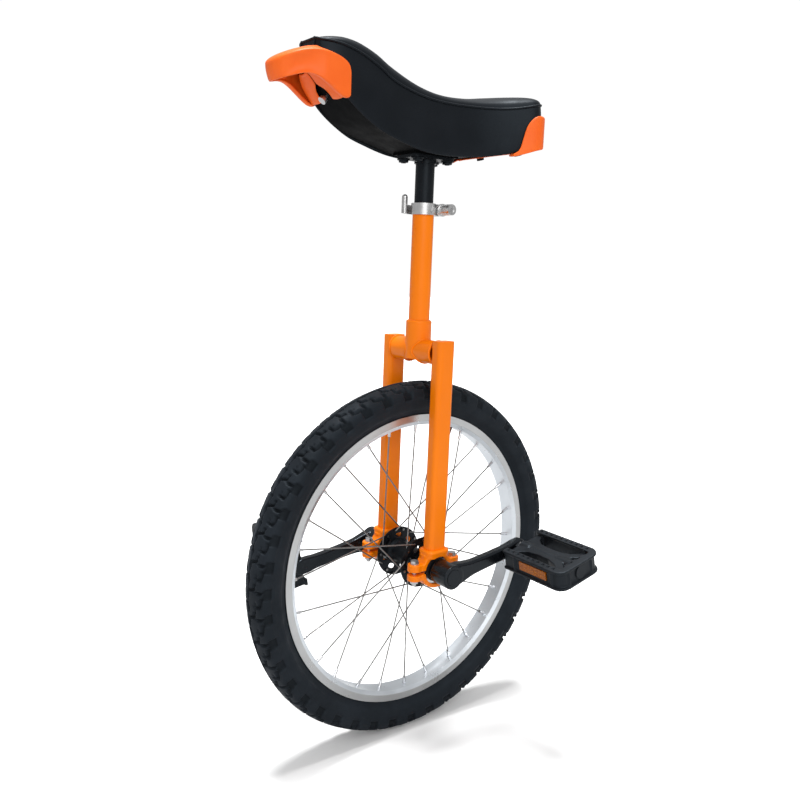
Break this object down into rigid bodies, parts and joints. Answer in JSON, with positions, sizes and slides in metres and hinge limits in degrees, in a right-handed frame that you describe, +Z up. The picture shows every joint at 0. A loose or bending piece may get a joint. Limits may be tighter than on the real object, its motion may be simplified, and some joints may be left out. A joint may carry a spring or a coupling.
{
  "type": "unicycle",
  "caption": "Spoked-wheel unicycle with a knobby tyre, cranks and pedals, an orange tubular fork and a curved black saddle on a height-adjustable post.",
  "frame": {"origin": "on the ground, straight below the axle, where the tyre touches it", "axes": "+X forward, towards the saddle's handle; +Y to the rider's left, along the axle; +Z up"},
  "size_m": [0.508, 0.42, 0.925],
  "materials": {
    "frame_paint": "gloss orange powder coat",
    "zinc_steel": "zinc plated",
    "bearing_steel": "ground",
    "seal_rubber": "matte",
    "clamp_aluminium": "brushed",
    "polished_steel": "polished",
    "saddle_vinyl": "satin vinyl with a fine grain",
    "saddle_foam": "open foam",
    "base_plastic": "moulded",
    "trim_plastic": "satin moulded orange",
    "black_paint": "satin black",
    "crank_paint": "satin black",
    "pedal_plastic": "moulded, lightly textured",
    "bush_bronze": "sintered",
    "reflector": "prismatic amber",
    "rim_aluminium": "satin anodised",
    "tyre_rubber": "knobby, matte",
    "tube_rubber": "smooth"
  },
  "bodies": {
    "frame": {"seat_tube": "frame_paint", "crown_lug": "frame_paint", "cross_tube_left": "frame_paint", "cross_tube_right": "frame_paint", "fork_leg_left": "frame_paint", "fork_leg_right": "frame_paint", "bearing_housing_left": "frame_paint", "bearing_housing_right": "frame_paint", "bearing_cap_left": "frame_paint", "bearing_cap_right": "frame_paint", "housing_bolts": "zinc_steel", "housing_nuts": "zinc_steel", "bearing_outer_races": "bearing_steel", "bearing_balls": "bearing_steel", "bearing_shields": "seal_rubber", "seat_collar": "clamp_aluminium", "skewer": "polished_steel", "skewer_washers": "zinc_steel", "skewer_nut": "clamp_aluminium", "lever_pin": "polished_steel"},
    "seat": {"seat_post": "black_paint", "seat_bracket": "black_paint", "saddle_base": "base_plastic", "saddle_foam": "saddle_foam", "saddle_cover": "saddle_vinyl", "saddle_piping": "saddle_vinyl", "front_handle": "trim_plastic", "rear_bumper": "trim_plastic", "saddle_bolts": "black_paint", "saddle_nuts": "black_paint", "trim_bolts": "zinc_steel", "trim_nuts": "zinc_steel"},
    "lever": {"quick_release_lever": "clamp_aluminium"},
    "wheel": {"tyre": "tyre_rubber", "inner_tube": "tube_rubber", "rim_tape": "tube_rubber", "rim": "rim_aluminium", "valve_stem": "tube_rubber", "spokes": "polished_steel", "nipples": "polished_steel", "hub_shell": "black_paint", "axle": "polished_steel", "axle_spacers": "black_paint", "bearing_inner_races": "bearing_steel", "crank_left": "crank_paint", "crank_right": "crank_paint", "crank_bolts": "crank_paint", "dust_caps": "pedal_plastic", "pedal_spindle_left": "polished_steel", "pedal_spindle_right": "polished_steel", "spindle_nuts": "zinc_steel"},
    "left_pedal": {"pedal_left": "pedal_plastic", "pedal_bushes_left": "bush_bronze", "pedal_reflectors_left": "reflector", "pedal_cap_left": "pedal_plastic"},
    "right_pedal": {"pedal_right": "pedal_plastic", "pedal_bushes_right": "bush_bronze", "pedal_reflectors_right": "reflector", "pedal_cap_right": "pedal_plastic"}
  },
  "joints": [
    {"name": "wheel_spin", "type": "hinge", "parent": "frame", "child": "wheel", "pos_m": [0, 0, 0.254], "axis": [0, 1, 0], "continuous": true},
    {"name": "left_pedal_spin", "type": "hinge", "parent": "wheel", "child": "left_pedal", "pos_m": [-0.12544, 0.155, 0.27387], "axis": [0, 1, 0], "continuous": true},
    {"name": "right_pedal_spin", "type": "hinge", "parent": "wheel", "child": "right_pedal", "pos_m": [0.12544, -0.155, 0.23413], "axis": [0, 1, 0], "continuous": true},
    {"name": "seat_height", "type": "slide", "parent": "frame", "child": "seat", "axis": [0, 0, 1], "range_m": [-0.032, 0.09]},
    {"name": "lever_swing", "type": "hinge", "parent": "frame", "child": "lever", "pos_m": [-0.022, -0.017, 0.7395], "axis": [0, 0, 1], "range_deg": [-150, 0]}
  ]
}
